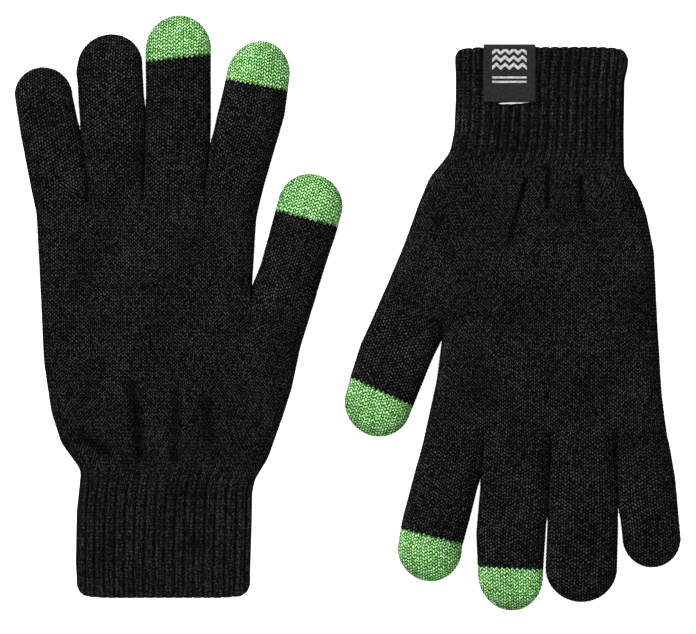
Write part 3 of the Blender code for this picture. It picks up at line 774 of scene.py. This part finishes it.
def add_piece(name, points, quads, data, material):
    """A mesh object of some faces of the surface, with its stitch data."""
    used, back = np.unique(quads, return_inverse=True)
    quads = back.reshape(-1, 4)
    whole = face_sizes(quads) == 4
    loops = list(quads[whole].ravel())
    totals = [4] * int(whole.sum())
    for corners in quads[~whole]:
        slim = list(dict.fromkeys(int(v) for v in corners))
        loops += slim
        totals.append(len(slim))
    mesh = bpy.data.meshes.new(name)
    mesh.vertices.add(len(used))
    mesh.vertices.foreach_set("co", points[used].astype(np.float32).ravel())
    mesh.loops.add(len(loops))
    mesh.loops.foreach_set("vertex_index", np.array(loops, np.int32))
    mesh.polygons.add(len(totals))
    starts = np.concatenate([[0], np.cumsum(totals)[:-1]])
    mesh.polygons.foreach_set("loop_start", starts.astype(np.int32))
    mesh.update(calc_edges=True)
    mesh.validate()
    for key in SHADER_DATA:
        if key in data:
            layer = mesh.attributes.new(key, "FLOAT", "POINT")
            layer.data.foreach_set("value", data[key][used].astype(np.float32))
    mesh.shade_smooth()
    mesh.materials.append(material)
    piece = bpy.data.objects.new(name, mesh)
    bpy.context.scene.collection.objects.link(piece)
    return piece


def add_grid(name, grid, data, material, closed=False):
    """A mesh object from a grid of points in metres, closed round its second way if asked."""
    rows, columns = grid.shape[:2]
    r, c = np.meshgrid(np.arange(rows - 1), np.arange(columns if closed else columns - 1),
                       indexing="ij")
    after = (c + 1) % columns
    quads = np.stack([r * columns + c, r * columns + after, (r + 1) * columns + after,
                      (r + 1) * columns + c], axis=-1).reshape(-1, 4)
    flat = {key: np.asarray(value, float).ravel() for key, value in data.items()}
    return add_piece(name, grid.reshape(-1, 3), quads, flat, material)


def label_path():
    """(y, z) of the middle of the label's thickness, from the front leaf's end round the fold to
    the end inside, and the places along it where the fold starts and where its middle is."""
    fold_y, end_y = LABEL_Y
    radius = (LABEL_TOP - LABEL_INSIDE) / 2
    front = [(y, LABEL_TOP) for y in np.arange(end_y, fold_y + radius, -LABEL_STEP)]
    fold = [(fold_y + radius * (1 - sin(a)), LABEL_TOP - radius * (1 - cos(a)))
            for a in np.linspace(0, pi, 25)[1:-1]]
    back = [(y, LABEL_INSIDE) for y in np.arange(fold_y + radius, LABEL_TUCK, LABEL_STEP)]
    return np.array(front + fold + back), len(front) - 1, len(front) + len(fold) // 2


def edge_rounding(distance, least):
    """Share of the label's thickness at a distance from its edge."""
    q = np.clip(distance / LABEL_EDGE, 0, 1)
    return np.sqrt(np.clip(1 - (1 - q) ** 2, least, 1))


def add_label(glove, side):
    """A woven label folded over the cuff's edge: a loose leaf in front, and one sewn inside."""
    x0, x1 = LABEL_X
    path, last_flat, split = label_path()
    along = np.concatenate([[0], np.cumsum(np.linalg.norm(np.diff(path, axis=0), axis=1))])
    tangent = np.gradient(path, axis=0)
    tangent /= np.linalg.norm(tangent, axis=1, keepdims=True)
    outward = np.stack([tangent[:, 1], -tangent[:, 0]], axis=1)

    # once round the strip: over its outer face and back along its inner one
    x = np.arange(x0, x1 + 1e-6, LABEL_STEP)
    soft = edge_rounding(x - x0, 0.04)
    soft = np.minimum(soft, soft[::-1]) * LABEL_THICK / 2
    shape = (len(along), 2 * len(x))
    u = np.broadcast_to(np.concatenate([x, x[::-1]]), shape)
    v = np.broadcast_to(along[:, None], shape)
    thick = np.concatenate([soft, -soft[::-1]]) * edge_rounding(v, 0.02)
    on_leaf = v < along[last_flat]
    lying = v < along[last_flat] + 0.5
    wave = LABEL_WAVE * (np.cos((u - x0) / (x1 - x0) * 2 * pi * 0.8 + 0.6) * 0.5
                         + (1 - v / along[last_flat]).clip(0, 1) ** 3)
    lift = thick + wave * lying * ease(v, -4, 6)
    y = path[:, 0][:, None] + outward[:, 0][:, None] * lift
    z = path[:, 1][:, None] + outward[:, 1][:, None] * lift
    grid = placed(glove, np.stack([u, y, z], axis=-1))
    outer = np.arange(2 * len(x)) < len(x)
    data = {"mark": label_mark(u, y) * outer * on_leaf, "warp": u / THREAD, "weft": v / THREAD}
    cloth = label_material()
    leaf, fold = (add_grid(f"{side}_label_{part}_cloth", grid[share],
                           {key: value[share] for key, value in data.items()}, cloth, closed=True)
                  for part, share in (("leaf", slice(0, split + 1)), ("fold", slice(split, None))))
    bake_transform(leaf)
    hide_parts(f"{side}_label_front")
    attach(fold, f"{side}_wristband")
    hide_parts(f"{side}_label_back")
    thread = add_selvedge(glove, side, data)
    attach(thread, f"{side}_label_leaf")


def add_selvedge(glove, side, data):
    """The pale thread that shows under the front leaf's end."""
    x = np.linspace(*SELVEDGE_X, 60)[:, None]
    bulge = np.sin(np.linspace(0, pi, 60))[:, None] ** 0.6
    ring = np.linspace(0, 2 * pi, 9)[:-1]
    half_wide, half_high = SELVEDGE_SIZE
    y = LABEL_Y[1] + 0.05 * (x - SELVEDGE_X[0])
    y = y + (half_wide + 0.1 * np.sin(x * 1.7)) * bulge * np.cos(ring)
    z = LABEL_TOP - SELVEDGE_DROP + half_high * np.sin(ring) * (0.3 + bulge)
    strip = placed(glove, np.stack([np.broadcast_to(x, y.shape), y, z], axis=-1))
    plain = {key: np.zeros(y.shape) for key in data}
    return add_grid(f"{side}_label_selvedge", strip, plain, selvedge_material(), closed=True)


def label_mark(x, y):
    """A plain woven ornament: three zigzag lines over two thin bars."""
    inside = np.abs(x - MARK_X) < MARK_WIDE / 2
    shown = np.zeros(x.shape, bool)
    tooth = np.abs(((x - MARK_X) / ZIGZAG_WAVE) % 1 - 0.5) * 2 - 0.5
    for k in (-1, 0, 1):
        zigzag = ZIGZAG_Y + ZIGZAG_STEP * k + ZIGZAG_HIGH * tooth
        shown |= np.abs(y - zigzag) < ZIGZAG_HALF
    for k in (0, 1):
        shown |= np.abs(y - BAR_Y - BAR_STEP * k) < BAR_HALF
    return (shown & inside).astype(float)


def cuts_of(glove, side):
    """For each finger, the pieces it is cut into: (name, first row's distance from the root, the
    bodies, the blend's start and end along the finger, the CAD node it stands for)."""
    pieces = {}
    for finger in FINGERS:
        shape, web = glove["fingers"][finger], glove["web"]
        base, middle, end = (f"{side}_{finger}_{part}" for part in ("base", "middle_part", "end"))
        mid, last = shape["mid"] - web, shape["end"] - web
        first_end = min(KNUCKLE_BEND, mid - MID_BEND - 2 * BEND_APART)
        mid_blend = (mid - MID_BEND, mid + MID_BEND)
        end_blend = (max(last - END_BEND, mid_blend[1] + BEND_APART), last + END_BEND)
        if shape["cap"]:
            cap_y, slope = shape["cap"]
            half = (shape["right"][-1][1] - shape["left"][-1][1]) / 2
            lowest = cap_y - web - abs(slope) * half - COURSE
            end_blend = (min(end_blend[0], lowest - END_BEND), min(end_blend[1], lowest))
            mid_blend = (mid_blend[0], min(mid_blend[1], end_blend[0]))
        pieces[finger] = [
            (f"{side}_{finger}_root_knit", 0.0, (f"{side}_hand", base), (0.0, first_end),
             [f"{side}_{finger}_proximal"]),
            (f"{side}_{finger}_middle_knit", (first_end + mid_blend[0]) / 2, (base, middle),
             mid_blend, [f"{side}_{finger}_medial"]),
            (f"{side}_{finger}_end_knit", (mid_blend[1] + end_blend[0]) / 2, (middle, end),
             end_blend, [f"{side}_{finger}_distal"])]
        if shape["cap"]:
            pieces[finger].append((f"{side}_{finger}_green_tip", shape["cap"][0] - web, end, None,
                                   [f"{side}_{finger}_touch_tip"]))
    shape = glove["thumb"]
    base, end = f"{side}_thumb_base", f"{side}_thumb_end"
    pieces["thumb"] = [
        (f"{side}_thumb_root_knit", 0.0, (f"{side}_hand", base), THUMB_ROOT_BEND,
         [f"{side}_thumb_proximal"]),
        (f"{side}_thumb_end_knit", THUMB_CUT, (base, end),
         (shape["end"] - THUMB_BEND, shape["end"] + THUMB_BEND), [f"{side}_thumb_distal"]),
        (f"{side}_thumb_green_tip", shape["cap"][0], end, None, [f"{side}_thumb_touch_tip"])]
    return pieces


def dress_glove(side, glove, black, green):
    """Builds one glove's pieces and its label; the hand and the green tips ride on their bodies,
    and the cuff and the other finger pieces are fixed in place.
    """
    points, quads, owner, rows_of, data, sheets = build_surface(glove)
    points = shape_fabric(glove, points, quads, data)
    world = placed(glove, points)
    names = list(WALES)
    cuff_rows = len(hem_steps()) + int(round(glove["wrist_blend"][0] / ROW))
    group = np.zeros(len(quads), int)
    group[rows_of < cuff_rows] = 1
    tasks = []
    for finger, cuts in cuts_of(glove, side).items():
        hand_rows = sheets[finger]["hand_rows"]
        mine = owner == names.index(finger)
        for name, first, bodies, blend, nodes in cuts:
            group[mine & (rows_of >= hand_rows - 1 + int(round(first / ROW)))] = len(tasks) + 2
            tasks.append((finger, name, bodies, blend, nodes))

    hand = add_piece(f"{side}_hand_knit", world, quads[group == 0], data, black)
    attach(hand, f"{side}_hand")
    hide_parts(f"{side}_palm")
    cuff = add_piece(f"{side}_cuff_knit", world, quads[group == 1], data, black)
    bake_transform(cuff)
    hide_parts(f"{side}_cuff")
    for k, (finger, name, bodies, blend, nodes) in enumerate(tasks):
        is_green = name.endswith("green_tip")
        piece = add_piece(name, world, quads[group == k + 2], data, green if is_green else black)
        if blend:
            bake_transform(piece)
        else:
            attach(piece, bodies)
        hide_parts(*nodes)
    if not glove["palm_up"]:
        add_label(glove, side)


# ---------------------------------------------------------------- stage
def seen_strength(tree, socket, seen_more, always):
    """Sets a strength to always, and to that much more for what the camera itself sees."""
    seen = tree.nodes.new("ShaderNodeLightPath").outputs["Is Camera Ray"]
    tree.links.new(calc(tree, "MULTIPLY_ADD", seen, seen_more, always), socket)


def add_stage():
    """A white floor, a camera straight above, and soft light from all round."""
    scene = bpy.context.scene
    scene.view_settings.view_transform = "Standard"
    camera = bpy.data.cameras.new("camera")
    camera.sensor_width = 36
    camera.lens = CAMERA_LENS
    camera.clip_end = 20
    holder = bpy.data.objects.new("camera", camera)
    holder.location = CAMERA_AT
    scene.collection.objects.link(holder)
    bpy.context.scene.camera = holder

    mesh = bpy.data.meshes.new("floor")
    corners = [(x * FLOOR_HALF, y * FLOOR_HALF, 0) for x, y in ((-1, -1), (1, -1), (1, 1), (-1, 1))]
    mesh.from_pydata(corners, [], [(0, 1, 2, 3)])
    floor = bpy.data.objects.new("floor", mesh)
    scene.collection.objects.link(floor)
    paper, tree, shader = new_material("paper")
    shader.inputs["Base Color"].default_value = (FLOOR_PALE, FLOOR_PALE, FLOOR_PALE, 1)
    shader.inputs["Roughness"].default_value = 1.0
    shader.inputs["Specular IOR Level"].default_value = 0.0
    shader.inputs["Emission Color"].default_value = (1, 1, 1, 1)
    seen_strength(tree, shader.inputs["Emission Strength"], FLOOR_GLOW, 0.0)
    mesh.materials.append(paper)

    world = bpy.data.worlds.new("studio")
    world.use_nodes = True
    sky = world.node_tree.nodes["Background"]
    sky.inputs["Color"].default_value = (1, 1, 1, 1)
    seen_strength(world.node_tree, sky.inputs["Strength"], SKY_SEEN, SKY_LIGHT)
    scene.world = world
    for name, place, size, power in LAMPS:
        lamp = bpy.data.lights.new(name, "AREA")
        lamp.size = size
        lamp.energy = power
        source = bpy.data.objects.new(name, lamp)
        source.location = place
        x, y, z = -np.array(place) / np.linalg.norm(place)
        source.rotation_euler = (float(np.arccos(-z)), 0.0, float(np.arctan2(y, x) - pi / 2))
        scene.collection.objects.link(source)


add_stage()
BLACK = knit_material("black_knit_yarn", BLACK_YARN)
GREEN = knit_material("green_touch_yarn", GREEN_YARN)
for glove_side, glove_shape in GLOVES.items():
    dress_glove(glove_side, glove_shape, BLACK, GREEN)
